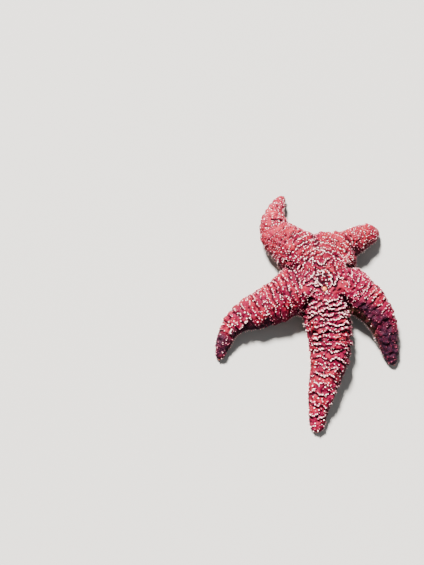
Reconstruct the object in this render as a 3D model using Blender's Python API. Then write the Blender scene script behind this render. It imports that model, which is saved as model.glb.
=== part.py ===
"""Ochre sea star, Pisaster ochraceus, life size, at rest on a level floor with its five arms bent.

The body is one rounded cage: a domed disc whose columns run on into five tapering arms, over a flat,
grooved underside. Thin cuts part it into the disc, five arms and five arm tips. The mouth, the
madreporite and an eyespot at the end of each arm are pieces of their own.
Metres, +Z up. The origin is on the floor, below the middle of the animal.
"""

import collections
import math

import bmesh
import bpy
import numpy as np
from mathutils import Matrix, Vector
from mathutils.bvhtree import BVHTree

MM = 0.001

# Sizes of the whole animal, out to the tips of its spines.
DISC_CREST = 38 * MM
WEB_LEVEL = 10 * MM
PART_GAP = 0.3 * MM

# Shape of a section across an arm, as shares of its width and height.
MARGIN_SHARE = 0.30
SOLE_SHARE = 0.60
SHOULDER_FULLNESS = 0.82
CREST_FULLNESS = 0.86
TOP_STEPS = 6

# The underside: flat soles on each side of a groove, and the mouth's recess.
SOLE_SINK = -1.2 * MM
GROOVE_WIDTH = 10 * MM
GROOVE_DEPTH = 5.5 * MM
GROOVE_SHARE = 0.34
MOUTH_RIM = 14 * MM
MOUTH_RIM_LEVEL = 1.0 * MM
RECESS_RADIUS = 10 * MM
RECESS_LEVEL = 8 * MM
MOUTH_PROFILE = ((0, 7.3), (7.6, 7.3), (8.6, 6.2), (7.4, 4.7), (4.2, 4.2), (1.6, 5.2), (0, 5.6))
MOUTH_SIDES = 20

# The rounded ends of the arms.
TIP_LEVEL = 4 * MM
TIP_ROUNDING = 8 * MM
TIP_STATIONS = (0.45, 0.78, 1.0)
TIP_SMALLEST = 0.3

# Spacing of the cage's rings.
STATION_STEP = 9.5 * MM
DOME_RINGS = (0.85, 0.66, 0.45, 0.24)
DOME_POWER = 2.8
SOLE_RINGS = (0.87, 0.68, 0.48)
SOLE_COLUMNS = 6
ROOT_SETBACK = 12
SUBDIVISIONS = 1
ROUNDING_PASSES = 3

MADREPORITE_PLACE = Vector((-1.5 * MM, -14.5 * MM, 0))
MADREPORITE_RADIUS = 2.9 * MM
MADREPORITE_DEPTH = 1.6 * MM
MADREPORITE_CROWN = 0.9 * MM
MADREPORITE_SIDES = 18
EYE_RADIUS = 1.1 * MM
EYE_FLATNESS = 0.5

# An arm's course is its heading in degrees, and its width and crest are its section, in millimetres,
# each at a distance from the disc's centre. It is parted at its cuts, and lift raises its inner margin.
Arm = collections.namedtuple("Arm", "length course width crest cuts lift")

# The arms in order round the disc, anticlockwise from above.
ARMS = {
    "front": Arm(
        length=153,
        course=((0, -86), (48, -86), (68, -90), (88, -106), (120, -104), (136, -97), (153, -96)),
        width=((40, 49), (60, 45), (76, 42), (92, 36), (110, 31), (130, 24), (146, 16), (153, 13)),
        crest=((40, 37), (60, 34), (80, 31), (104, 26), (128, 19), (144, 12), (153, 9)),
        cuts=(48, 106),
        lift=0,
    ),
    "right": Arm(
        length=118,
        course=((0, -18), (30, -24), (48, -43), (66, -57), (82, -74), (98, -82), (118, -72)),
        width=((36, 48), (50, 42), (62, 37), (76, 32), (91, 26), (107, 18), (118, 13)),
        crest=((36, 36), (55, 32), (75, 27), (95, 19), (110, 12), (118, 9)),
        cuts=(50, 84),
        lift=4,
    ),
    "back_right": Arm(
        length=92,
        course=((0, 66), (28, 63), (40, 50), (54, 29), (76, 28), (92, 30)),
        width=((34, 54), (44, 44), (51, 33), (60, 33), (70, 28), (84, 22), (92, 18)),
        crest=((36, 38), (44, 35), (51, 27), (58, 28), (66, 27), (82, 21), (92, 14)),
        cuts=(54, 74),
        lift=0,
    ),
    "back_left": Arm(
        length=121,
        course=((0, 126), (40, 130), (58, 138), (70, 119), (84, 88), (98, 79), (110, 66), (121, 50)),
        width=((40, 48), (58, 45), (70, 42), (84, 33), (94, 25), (103, 20), (112, 16), (121, 12)),
        crest=((40, 37), (60, 35), (76, 31), (86, 27), (94, 20), (104, 17), (114, 13), (121, 10)),
        cuts=(59, 90),
        lift=0,
    ),
    "left": Arm(
        length=140,
        course=((0, -160), (42, -157), (60, -154), (88, -151), (104, -134), (117, -112), (140, -102)),
        width=((40, 48), (52, 43), (62, 39), (80, 37), (100, 28), (118, 20), (132, 14), (140, 12)),
        crest=((40, 36), (62, 31), (84, 27), (104, 21), (124, 14), (140, 9)),
        cuts=(50, 101),
        lift=0,
    ),
}
# The notch in the web clockwise of each arm: its heading in degrees and its distance in millimetres.
WEBS = {
    "front": (-122.6, 42.7),
    "right": (-51.5, 43.4),
    "back_right": (24.7, 40.7),
    "back_left": (99.3, 55.7),
    "left": (162.0, 45.2),
}

# Which piece of the animal a face of the cage belongs to.
DISC = 0
CUT_AWAY = -1


def clear_scene():
    for thing in list(bpy.data.objects):
        bpy.data.objects.remove(thing, do_unlink=True)


def make_material(name, colour, roughness):
    material = bpy.data.materials.new(name)
    material.use_nodes = True
    shader = material.node_tree.nodes["Principled BSDF"]
    shader.inputs["Base Color"].default_value = (*colour, 1)
    shader.inputs["Roughness"].default_value = roughness
    shader.inputs["Metallic"].default_value = 0
    return material


def around(heading, distance):
    """The floor point at a heading in degrees and a distance from the disc's centre."""
    angle = math.radians(heading)
    return Vector((distance * math.cos(angle), distance * math.sin(angle), 0))


def read_off(pairs, distance):
    """An arm's size in metres at a distance in metres, between its pairs in millimetres."""
    distances, sizes = zip(*pairs)
    return float(np.interp(distance / MM, distances, sizes)) * MM


def walk_course(arm, distance):
    """(point, outward, leftward) on the arm's centre line, walked in steps of one millimetre."""
    distances, headings = zip(*arm.course)
    whole_steps = int(distance / MM)
    point = Vector((0, 0, 0))
    for step in range(whole_steps):
        point += around(np.interp(step + 0.5, distances, headings), MM)
    heading = float(np.interp(distance / MM, distances, headings))
    point += around(heading, distance - whole_steps * MM)
    return point, around(heading, 1), around(heading + 90, 1)


def arm_section(arm, distance):
    """(across, up) round the arm at a distance: over the top from right to left, and back below."""
    width = read_off(arm.width, distance)
    crest = read_off(arm.crest, distance)
    margin = MARGIN_SHARE * crest
    points = []
    for step in range(TOP_STEPS + 1):
        angle = math.pi * step / TOP_STEPS
        across = -math.copysign(abs(math.cos(angle)) ** SHOULDER_FULLNESS, math.cos(angle))
        rise = max(math.sin(angle), 0) ** CREST_FULLNESS
        points.append([width / 2 * across, margin + (crest - margin) * rise])
    groove = min(GROOVE_WIDTH, GROOVE_SHARE * width)
    depth = GROOVE_DEPTH * groove / GROOVE_WIDTH
    sole = SOLE_SHARE * width / 2
    points += [[sole, SOLE_SINK], [groove / 2, SOLE_SINK / 2], [0, depth]]
    points += [[-groove / 2, SOLE_SINK / 2], [-sole, SOLE_SINK]]

    length = arm.length * MM
    lift = arm.lift * MM * math.sin(math.pi * distance / length)
    into_tip = max(0.0, distance - (length - TIP_ROUNDING)) / TIP_ROUNDING
    closing = max(TIP_SMALLEST, math.sqrt(max(0.0, 1 - into_tip**2)))
    for point in points:
        if point[0] < 0:
            point[1] += lift * (2 * point[0] / width) ** 2
        point[0] *= closing
        point[1] = TIP_LEVEL + (point[1] - TIP_LEVEL) * closing
    return points


def arm_stations(arm):
    """Distances of the cage's rings, from just outside the web to the end of the arm."""
    first = (arm.cuts[0] - 2) * MM
    last = arm.length * MM - TIP_ROUNDING
    count = round((last - first) / STATION_STEP) + 1
    return list(np.linspace(first, last, count)) + [last + TIP_ROUNDING * share for share in TIP_STATIONS]


def join_rings(cage, limb, outer, inner, piece):
    """Quads between two closed rings of vertices of the same length."""
    for step, vertex in enumerate(outer):
        corners = (vertex, outer[step - 1], inner[step - 1], inner[step])
        cage.faces.new(list(dict.fromkeys(corners)))[limb] = piece


def build_arm(cage, limb, arm, piece, right_web, left_web):
    """Builds an arm from its root between two webs to its tip, and returns the root's ring."""
    root_at = (arm.cuts[0] - ROOT_SETBACK) * MM
    bulge = walk_course(arm, root_at)[0] - (right_web.co + left_web.co) / 2
    bulge.z = 0
    width = read_off(arm.width, root_at)
    root = []
    for across, up in arm_section(arm, root_at):
        share = across / width
        point = (right_web.co + left_web.co) / 2 + (left_web.co - right_web.co) * share
        point += bulge * (1 - 4 * share**2)
        point.z = up
        root.append(point)
    ring = [cage.verts.new(point) for point in root[1:TOP_STEPS]]
    ring = [right_web] + ring + [left_web]
    ring += [cage.verts.new(point) for point in root[TOP_STEPS + 1 :]]

    previous = ring
    for distance in arm_stations(arm):
        middle, outward, leftward = walk_course(arm, distance)
        station = []
        for across, up in arm_section(arm, distance):
            station.append(cage.verts.new(middle + leftward * across + Vector((0, 0, up))))
        join_rings(cage, limb, station, previous, piece)
        previous = station
    cage.faces.new(previous)[limb] = piece
    return ring


def build_dome(cage, limb, roots):
    """The top of the disc, in rings from the arms' roots in to the middle."""
    feet = [vertex for root in roots for vertex in root[:TOP_STEPS]]
    outer = feet
    for share in DOME_RINGS:
        inner = []
        for foot in feet:
            point = foot.co * share
            point.z = foot.co.z + (DISC_CREST - foot.co.z) * (1 - share**DOME_POWER)
            inner.append(cage.verts.new(point))
        join_rings(cage, limb, outer, inner, DISC)
        outer = inner
    cage.faces.new(outer)[limb] = DISC


def build_sole(cage, limb, roots):
    """The underside of the disc, with the grooves running in to the recess round the mouth."""
    outer = []
    for root in roots:
        outer += [root[0]] + root[:TOP_STEPS:-1]
    feet = [vertex.co.copy() for vertex in outer]
    for share in SOLE_RINGS:
        inner = []
        for start in range(0, len(feet), SOLE_COLUMNS):
            web, next_web = feet[start] * share, feet[(start + SOLE_COLUMNS) % len(feet)] * share
            edges = [feet[start + 2], feet[start + 4]]
            middle = feet[start + 3] * share
            half = (edges[1] - edges[0]).to_2d().to_3d() / 2
            right, left = middle - half, middle + half
            places = [(web, SOLE_SINK), ((web + right) / 2, SOLE_SINK), (right, SOLE_SINK / 2)]
            places += [(middle, feet[start + 3].z), (left, SOLE_SINK / 2)]
            places += [((left + next_web) / 2, SOLE_SINK)]
            for point, up in places:
                inner.append(cage.verts.new((point.x, point.y, up)))
        join_rings(cage, limb, inner, outer, DISC)
        outer = inner
    for radius, flat_level in ((MOUTH_RIM, MOUTH_RIM_LEVEL), (RECESS_RADIUS, RECESS_LEVEL)):
        inner = []
        for index, vertex in enumerate(outer):
            point = vertex.co.to_2d().normalized() * radius
            in_groove = index % SOLE_COLUMNS == SOLE_COLUMNS // 2
            level = max(flat_level, GROOVE_DEPTH) if in_groove else flat_level
            inner.append(cage.verts.new((*point, level)))
        join_rings(cage, limb, inner, outer, DISC)
        outer = inner
    cage.faces.new(outer)[limb] = DISC


def hold_size(cage):
    """Moves the vertices out by as much as the subdivision draws them in, so the sizes stay true."""
    wanted = [vertex.co.copy() for vertex in cage.verts]
    for _ in range(ROUNDING_PASSES):
        drawn_in = []
        for vertex in cage.verts:
            valence = len(vertex.link_faces)
            faces = sum((face.calc_center_median() for face in vertex.link_faces), Vector()) / valence
            edges = sum((edge.other_vert(vertex).co for edge in vertex.link_edges), Vector()) / valence
            drawn_in.append((faces + edges + vertex.co * (valence - 2)) / valence)
        for vertex, goal, now in zip(cage.verts, wanted, drawn_in):
            vertex.co += goal - now


def build_body():
    """The whole body as one rounded bmesh, whose faces are numbered by arm in the layer limb."""
    cage = bmesh.new()
    limb = cage.faces.layers.int.new("limb")
    names = list(ARMS)
    webs = []
    for name in names:
        heading, distance = WEBS[name]
        webs.append(cage.verts.new(around(heading, distance * MM) + Vector((0, 0, WEB_LEVEL))))
    roots = []
    for index, name in enumerate(names):
        next_web = webs[(index + 1) % len(webs)]
        roots.append(build_arm(cage, limb, ARMS[name], index + 1, webs[index], next_web))
    build_dome(cage, limb, roots)
    build_sole(cage, limb, roots)
    bmesh.ops.recalc_face_normals(cage, faces=cage.faces)
    hold_size(cage)

    mesh = bpy.data.meshes.new("cage")
    cage.to_mesh(mesh)
    cage.free()
    holder = bpy.data.objects.new("cage", mesh)
    bpy.context.scene.collection.objects.link(holder)
    rounding = holder.modifiers.new("Rounding", "SUBSURF")
    rounding.levels = rounding.render_levels = SUBDIVISIONS
    bpy.context.view_layer.update()
    evaluated = holder.evaluated_get(bpy.context.evaluated_depsgraph_get())
    body = bmesh.new()
    body.from_mesh(evaluated.to_mesh())
    bpy.data.objects.remove(holder, do_unlink=True)
    bpy.data.meshes.remove(mesh)
    for vertex in body.verts:
        vertex.co.z = max(vertex.co.z, 0)
    return body


def cut_arm(body, limb, arm, piece, tip_piece):
    """Cuts two thin slices out of an arm: its root goes to the disc, and its end becomes the tip."""
    for distance, beyond in zip(arm.cuts, (piece, tip_piece)):
        middle, outward, _ = walk_course(arm, distance * MM)
        for side in (-1, 1):
            faces = [face for face in body.faces if face[limb] == piece]
            edges = {edge for face in faces for edge in face.edges}
            verts = {vertex for face in faces for vertex in face.verts}
            bmesh.ops.bisect_plane(
                body,
                geom=list(verts) + list(edges) + faces,
                dist=PART_GAP / 1000,
                plane_co=middle + outward * side * PART_GAP / 2,
                plane_no=outward,
            )
        before = DISC if beyond == piece else piece
        for face in [face for face in body.faces if face[limb] == piece]:
            offset = (face.calc_center_median() - middle).dot(outward)
            if abs(offset) < PART_GAP / 2:
                face[limb] = CUT_AWAY
            else:
                face[limb] = beyond if offset > 0 else before


def add_object(shape, name, material):
    mesh = bpy.data.meshes.new(name)
    bmesh.ops.recalc_face_normals(shape, faces=shape.faces)
    shape.to_mesh(mesh)
    shape.free()
    mesh.shade_smooth()
    mesh.set_sharp_from_angle(angle=math.radians(50))
    mesh.materials.append(material)
    node = bpy.data.objects.new(name, mesh)
    bpy.context.scene.collection.objects.link(node)
    return node


def take_piece(body, piece, name, material):
    """One numbered piece of the body as a closed solid of its own, with a flat face at each cut."""
    solid = body.copy()
    limb = solid.faces.layers.int["limb"]
    others = [face for face in solid.faces if face[limb] != piece]
    bmesh.ops.delete(solid, geom=others, context="FACES")
    open_edges = [edge for edge in solid.edges if edge.is_boundary]
    bmesh.ops.holes_fill(solid, edges=open_edges, sides=0)
    solid.faces.layers.int.remove(solid.faces.layers.int["limb"])
    return add_object(solid, name, material)


def turned_shape(profile, sides):
    """A round piece turned about Z from a profile of (radius, height) that starts and ends on it."""
    shape = bmesh.new()
    points = [shape.verts.new((radius * MM, 0, height * MM)) for radius, height in profile]
    edges = [shape.edges.new(pair) for pair in zip(points, points[1:])]
    bmesh.ops.spin(
        shape,
        geom=points + edges,
        cent=(0, 0, 0),
        axis=(0, 0, 1),
        angle=2 * math.pi,
        steps=sides,
        use_merge=True,
    )
    bmesh.ops.remove_doubles(shape, verts=shape.verts, dist=MM / 1000)
    return shape


def add_madreporite(disc, surface, material):
    """The stony plate through which the animal draws water, in a shallow pocket on the disc."""
    above = MADREPORITE_PLACE + Vector((0, 0, 2 * DISC_CREST))
    seat = surface.ray_cast(above, Vector((0, 0, -1)))[0]
    floor = -MADREPORITE_DEPTH / MM
    radius = MADREPORITE_RADIUS / MM
    crown = MADREPORITE_CROWN / MM
    plate = turned_shape(
        ((0, floor), (radius, floor), (radius, 0), (0.72 * radius, 0.7 * crown), (0, crown)),
        MADREPORITE_SIDES,
    )
    bmesh.ops.translate(plate, vec=seat, verts=plate.verts)
    add_object(plate, "madreporite", material)

    pocket = bmesh.new()
    bmesh.ops.create_cone(
        pocket,
        cap_ends=True,
        segments=MADREPORITE_SIDES,
        radius1=MADREPORITE_RADIUS + PART_GAP,
        radius2=MADREPORITE_RADIUS + PART_GAP,
        depth=2 * (MADREPORITE_DEPTH + PART_GAP),
        matrix=Matrix.Translation(seat),
    )
    cutter = add_object(pocket, "madreporite_pocket", material)
    cutter.hide_render = True
    cutter.display_type = "WIRE"
    cut = disc.modifiers.new("Madreporite pocket", "BOOLEAN")
    cut.operation = "DIFFERENCE"
    cut.object = cutter


def add_eye(name, arm, surface, material):
    """The red eyespot at the very end of an arm."""
    end, outward, _ = walk_course(arm, arm.length * MM)
    level = Vector((0, 0, TIP_LEVEL))
    seat = surface.ray_cast(end + outward * TIP_ROUNDING + level, -outward)[0]
    eye = bmesh.new()
    bmesh.ops.create_uvsphere(eye, u_segments=12, v_segments=8, radius=EYE_RADIUS)
    facing = outward.to_track_quat("Z", "Y").to_matrix().to_4x4()
    flat = Matrix.Diagonal((1, 1, EYE_FLATNESS, 1))
    centre = seat + outward * (EYE_RADIUS * EYE_FLATNESS + PART_GAP)
    bmesh.ops.transform(eye, matrix=Matrix.Translation(centre) @ facing @ flat, verts=eye.verts)
    add_object(eye, name, material)


def stand_over_origin():
    """Moves every shape so that the origin lies on the floor, below the middle of the animal."""
    meshes = [thing.data for thing in bpy.data.objects]
    places = np.array([vertex.co for mesh in meshes for vertex in mesh.vertices])
    middle = (places.min(axis=0) + places.max(axis=0)) / 2
    for mesh in meshes:
        mesh.transform(Matrix.Translation((-middle[0], -middle[1], 0)))


def main():
    clear_scene()
    bpy.context.scene.unit_settings.scale_length = 1.0
    skin = make_material("sea star skin", (0.42, 0.055, 0.07), 0.5)
    stony = make_material("madreporite plate", (0.75, 0.36, 0.2), 0.6)
    membrane = make_material("mouth membrane", (0.5, 0.28, 0.17), 0.45)
    eyespot = make_material("eyespot", (0.35, 0.01, 0.01), 0.3)

    body = build_body()
    surface = BVHTree.FromBMesh(body)
    limb = body.faces.layers.int["limb"]
    names = list(ARMS)
    for index, name in enumerate(names):
        cut_arm(body, limb, ARMS[name], index + 1, index + 1 + len(names))
    disc = take_piece(body, DISC, "disc", skin)
    for index, name in enumerate(names):
        take_piece(body, index + 1, f"arm_{name}", skin)
        take_piece(body, index + 1 + len(names), f"arm_{name}_tip", skin)
        add_eye(f"eye_{name}", ARMS[name], surface, eyespot)
    body.free()
    add_madreporite(disc, surface, stony)
    add_object(turned_shape(MOUTH_PROFILE, MOUTH_SIDES), "mouth", membrane)
    stand_over_origin()


main()
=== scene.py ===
import collections
import math

import bmesh
import bpy
import numpy as np
from mathutils import Matrix, Vector
from mathutils.bvhtree import BVHTree
from mathutils.kdtree import KDTree


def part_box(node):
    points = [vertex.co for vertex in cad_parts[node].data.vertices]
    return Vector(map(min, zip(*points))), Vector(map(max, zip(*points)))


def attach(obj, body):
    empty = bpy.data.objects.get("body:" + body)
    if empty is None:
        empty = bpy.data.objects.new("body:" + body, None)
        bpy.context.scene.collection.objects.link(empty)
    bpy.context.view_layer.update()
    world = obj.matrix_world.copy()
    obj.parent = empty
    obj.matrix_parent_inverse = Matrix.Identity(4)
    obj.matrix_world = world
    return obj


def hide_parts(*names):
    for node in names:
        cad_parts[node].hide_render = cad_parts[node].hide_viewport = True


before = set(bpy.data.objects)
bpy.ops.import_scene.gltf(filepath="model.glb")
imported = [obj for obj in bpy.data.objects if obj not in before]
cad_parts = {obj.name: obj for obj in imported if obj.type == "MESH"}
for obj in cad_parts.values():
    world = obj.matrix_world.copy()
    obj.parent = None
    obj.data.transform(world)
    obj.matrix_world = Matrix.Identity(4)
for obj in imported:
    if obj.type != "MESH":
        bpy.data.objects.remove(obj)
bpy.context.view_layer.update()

# ---- Skin ----
# The body wall is one leathery skin over a mesh of limy plates, from arm tip to arm tip with no seam. It
# lies inside the animal's outline by the height of its spines. The plates push it up in a net of welts and
# in crests across the arms, each rising towards the tip and dropping into a crease painted dark as shade.

MM = 0.001
MERGE = 0.00001
FLESH = [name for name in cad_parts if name.startswith(("disc", "arm_"))]
OVERLAP = 0.00025
SKIN_GRAIN = 0.00076
MOST_FACES = 197000
FACING_DOWN = -0.35


def show(name, data):
    """A new object in the scene, with this data."""
    thing = bpy.data.objects.new(name, data)
    bpy.context.scene.collection.objects.link(thing)
    return thing


def evaluated(thing):
    """The object's mesh with its modifiers applied."""
    return bpy.data.meshes.new_from_object(thing.evaluated_get(bpy.context.evaluated_depsgraph_get()))


def join_flesh():
    """One closed mesh round all the flesh of the frame, of fine even grain above and coarser below."""
    whole = bmesh.new()
    for name in FLESH:
        lump = bmesh.new()
        lump.from_mesh(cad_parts[name].data)
        bmesh.ops.remove_doubles(lump, verts=lump.verts, dist=MERGE)
        lump.normal_update()
        for vert in lump.verts:
            vert.co += vert.normal * OVERLAP
        swollen = bpy.data.meshes.new(name)
        lump.to_mesh(swollen)
        lump.free()
        whole.from_mesh(swollen)
        bpy.data.meshes.remove(swollen)
    flesh = show("flesh", bpy.data.meshes.new("flesh"))
    whole.to_mesh(flesh.data)
    whole.free()
    remesh = flesh.modifiers.new("Remesh", "REMESH")
    remesh.mode = "VOXEL"
    remesh.voxel_size = SKIN_GRAIN
    fine = evaluated(flesh)
    flesh.modifiers.clear()
    flesh.data = fine
    below = flesh.vertex_groups.new(name="below")
    below.add([vert.index for vert in fine.vertices if vert.normal.z < FACING_DOWN], 1.0, "REPLACE")
    thin = flesh.modifiers.new("Decimate", "DECIMATE")
    thin.vertex_group = below.name
    thin.ratio = MOST_FACES / (2 * len(fine.polygons))
    thin.use_collapse_triangulate = True
    mesh = evaluated(flesh)
    bpy.data.objects.remove(flesh)
    return mesh


skin_mesh = join_flesh()
points = np.empty(len(skin_mesh.vertices) * 3)
skin_mesh.vertices.foreach_get("co", points)
points = points.reshape(-1, 3) / MM
faces = np.array([face.vertices[:] for face in skin_mesh.polygons])
links = np.empty(len(skin_mesh.edges) * 2, dtype=int)
skin_mesh.edges.foreach_get("vertices", links)
links = links.reshape(-1, 2)

# The lie of the animal: a domed disc, and five stout arms that bend along the ground. Each arm's middle line
# leaves the middle of the disc, above the mouth. Lengths are in millimetres, and headings in degrees from +X.
# Width, crest height and heading are read at distances along the line. Folds are where the skin of the back
# stands up in a crest across the arm.
UP = np.array([0.0, 0.0, 1.0])
Arm = collections.namedtuple("Arm", "length course width crest folds")
ARMS = {
    "front": Arm(
        length=153,
        course=((0, -86), (48, -86), (68, -90), (88, -106), (120, -104), (136, -97), (153, -96)),
        width=((40, 49), (60, 45), (76, 42), (92, 36), (110, 31), (130, 24), (146, 16), (153, 13)),
        crest=((40, 37), (60, 34), (80, 31), (104, 26), (128, 19), (144, 12), (153, 9)),
        folds=(38, 43.5, 49, 57, 65.5, 74, 82.5, 92, 102, 112, 122.5, 131.5, 138.5, 145, 151),
    ),
    "right": Arm(
        length=118,
        course=((0, -18), (30, -24), (48, -43), (66, -57), (82, -74), (98, -82), (118, -72)),
        width=((36, 48), (50, 42), (62, 37), (76, 32), (91, 26), (107, 18), (118, 13)),
        crest=((36, 36), (55, 32), (75, 27), (95, 19), (110, 12), (118, 9)),
        folds=(38, 43, 48, 54, 61, 69, 78, 88, 98, 107, 115),
    ),
    "back_right": Arm(
        length=92,
        course=((0, 66), (28, 63), (40, 50), (54, 29), (76, 28), (92, 30)),
        width=((34, 54), (44, 44), (51, 33), (60, 33), (70, 28), (84, 22), (92, 18)),
        crest=((36, 38), (44, 35), (51, 27), (58, 28), (66, 27), (82, 21), (92, 14)),
        folds=(36, 40, 44, 50, 57, 65, 73, 81, 89),
    ),
    "back_left": Arm(
        length=121,
        course=((0, 126), (40, 130), (58, 138), (70, 119), (84, 88), (98, 79), (110, 66), (121, 50)),
        width=((40, 48), (58, 45), (70, 42), (84, 33), (94, 25), (103, 20), (112, 16), (121, 12)),
        crest=((40, 37), (60, 35), (76, 31), (86, 27), (94, 20), (104, 17), (114, 13), (121, 10)),
        folds=(38, 46, 56, 66, 75, 82, 90, 98, 106, 113, 119),
    ),
    "left": Arm(
        length=140,
        course=((0, -160), (42, -157), (60, -154), (88, -151), (104, -134), (117, -112), (140, -102)),
        width=((40, 48), (52, 43), (62, 39), (80, 37), (100, 28), (118, 20), (132, 14), (140, 12)),
        crest=((40, 36), (62, 31), (84, 27), (104, 21), (124, 14), (140, 9)),
        folds=(37, 47, 56, 65.5, 75.5, 85, 95, 105, 114, 122, 130, 137),
    ),
}
ARM_NAMES = list(ARMS)
CORE_SHARE = 0.3
mouth_low, mouth_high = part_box("mouth")
DISC_MIDDLE = np.array((mouth_low + mouth_high) / (2 * MM)) * (1, 1, 0)


def read_off(pairs, distance):
    """The value at this distance, straight between the pairs."""
    return np.interp(distance, *zip(*pairs))


def walk(arm):
    """The middle line in steps of a millimetre: its points on the ground and its ways."""
    line = [DISC_MIDDLE]
    for step in range(arm.length):
        heading = math.radians(read_off(arm.course, step + 0.5))
        line.append(line[-1] + (math.cos(heading), math.sin(heading), 0))
    headings = np.radians(read_off(arm.course, np.arange(arm.length + 1)))
    return np.array(line), np.stack([np.cos(headings), np.sin(headings), 0 * headings], axis=1)


def tree_of(places):
    """A tree that finds the nearest of these places."""
    tree = KDTree(len(places))
    for index, place in enumerate(places):
        tree.insert(place, index)
    tree.balance()
    return tree


LINES = {name: walk(arm) for name, arm in ARMS.items()}
line_owner = np.concatenate([np.full(len(LINES[name][0]), i) for i, name in enumerate(ARM_NAMES)])
line_step = np.concatenate([np.arange(len(LINES[name][0])) for name in ARM_NAMES])
line_points = np.concatenate([LINES[name][0] for name in ARM_NAMES])
line_ways = np.concatenate([LINES[name][1] for name in ARM_NAMES])
line_tree = tree_of(line_points)


def lie_of(places):
    """Where places lie: the arm's number, the distance along it, the offset to its left, and its way."""
    nearest = np.array([line_tree.find((x, y, 0.0))[1] for x, y, _ in places])
    way = line_ways[nearest]
    away = (places - line_points[nearest]) * (1, 1, 0)
    along = line_step[nearest] + (away * way).sum(axis=1)
    return line_owner[nearest], along, (away * np.cross(UP, way)).sum(axis=1), way


def line_at(name, distance):
    """The place of an arm's middle line at this distance, and the arm's way there."""
    line, ways = LINES[name]
    place = np.array([np.interp(distance, np.arange(len(line)), line[:, axis]) for axis in range(3)])
    return place, ways[min(max(round(distance), 0), len(ways) - 1)]


def rise(low, high, value):
    """0 below low and 1 above high, with a smooth climb between them."""
    t = np.clip((value - low) / (high - low), 0, 1)
    return t * t * (3 - 2 * t)


def bell(value, width):
    """1 at zero, and hardly anything from twice the width on."""
    return np.exp(-((value / width) ** 2))


def even_out(values, rounds):
    """Moves each skin point's value half way to the mean of its neighbours', this many times."""
    count = len(values)
    degree = np.bincount(links.ravel(), minlength=count)
    columns = values.reshape(count, -1)
    for _ in range(rounds):
        mean = np.stack(
            [
                np.bincount(links[:, 0], column[links[:, 1]], count)
                + np.bincount(links[:, 1], column[links[:, 0]], count)
                for column in columns.T
            ],
            axis=1,
        )
        columns = 0.5 * columns + 0.5 * mean / degree[:, None]
    return columns.reshape(values.shape)


def outward():
    """Unit normals at the points of the skin."""
    corners = points[faces]
    across = np.cross(corners[:, 1] - corners[:, 0], corners[:, 2] - corners[:, 0])
    total = np.zeros_like(points)
    for corner in range(3):
        for axis in range(3):
            total[:, axis] += np.bincount(faces[:, corner], across[:, axis], len(points))
    return total / np.linalg.norm(total, axis=1, keepdims=True)


# The skin draws in to make room for the spines, but not round the eyespots.
SPINE_ROOM = 1.15
BARE_TIP = 5.0
EYES = [np.array(sum(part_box("eye_" + name), Vector()) / (2 * MM)) for name in ARM_NAMES]
points = even_out(points, 4)
eye_gap = np.min([np.linalg.norm(points - eye, axis=1) for eye in EYES], axis=0)
points = points - outward() * (SPINE_ROOM * (1 - bell(eye_gap, BARE_TIP)))[:, None]
points = even_out(points, 3)
normals = even_out(outward(), 6)
normals /= np.linalg.norm(normals, axis=1, keepdims=True)

owner, along, aside, way = lie_of(points)
on_arm_named = {name: owner == number for number, name in enumerate(ARM_NAMES)}
on_back_arms = on_arm_named["back_right"] | on_arm_named["back_left"]
from_above = (points - DISC_MIDDLE)[:, :2]
back = rise(-0.15, 0.35, normals[:, 2])
half_width = np.zeros(len(points))
for name, mine in on_arm_named.items():
    half_width[mine] = read_off(ARMS[name].width, along[mine]) / 2
leaning = aside / half_width
smooth_tree = BVHTree.FromPolygons(points.tolist(), faces.tolist())

# The plates' places: rings round the disc, then rows over each arm between its folds. A plate's terrace is
# how high its outer edge stands, and its gap how far apart the spines along its edges are.
RING_STEP = 5.0
RINGS = (2.2, 6.2, 10.5, 15, 20, 25, 30, 35, 40, 45, 50)
FIRST_ARM_RING = 34
CLUSTER = np.array([-2.5, -4.0, 0.0])
CROWDED = 0.55
LAST_PLATES = 60
HIGH_ABOVE = 60.0
Plate = collections.namedtuple("Plate", "place way reach terrace gap")
plates = []
chance = np.random.default_rng(seed=5)


def drop_onto(tree, spot):
    """Where something that falls straight down past this spot lands, or None."""
    return tree.ray_cast((spot[0], spot[1], HIGH_ABOVE), (0.0, 0.0, -1.0))[0]


def add_plate(place, plate_way, reach, terrace, gap, spacing):
    """Adds a plate unless it would crowd one of the last."""
    if all(np.linalg.norm(place - other.place) > CROWDED * spacing for other in plates[-LAST_PLATES:]):
        plates.append(Plate(place, plate_way, reach, terrace, gap))


for ring, radius in enumerate(RINGS):
    spacing = 4.2 if radius < 9 else 6.0
    ring_middle = DISC_MIDDLE + CLUSTER * (1 - rise(8, 25, radius))
    count = max(4, round(math.tau * radius / spacing))
    for index in range(count):
        angle = math.tau * (index + 0.5 * (ring % 2)) / count + chance.uniform(-0.3, 0.3) * spacing / radius
        radial = np.array([math.cos(angle), math.sin(angle), 0])
        hit = drop_onto(smooth_tree, ring_middle + (radius + chance.uniform(-1.2, 1.2)) * radial)
        if hit is None:
            continue
        arm_number, distance, _, _ = lie_of(np.array([hit]))
        if radius > FIRST_ARM_RING and distance[0] > ARMS[ARM_NAMES[arm_number[0]]].folds[0] - 1:
            continue
        add_plate(np.array(hit), radial, RING_STEP / 2, chance.uniform(0.7, 1.6), 1.5, spacing)


ARCH_DEGREES = range(-24, 205, 4)
ARCH_REACH = 0.72
HIGH_TERRACES = 86
SLENDER = 0.72


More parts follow.
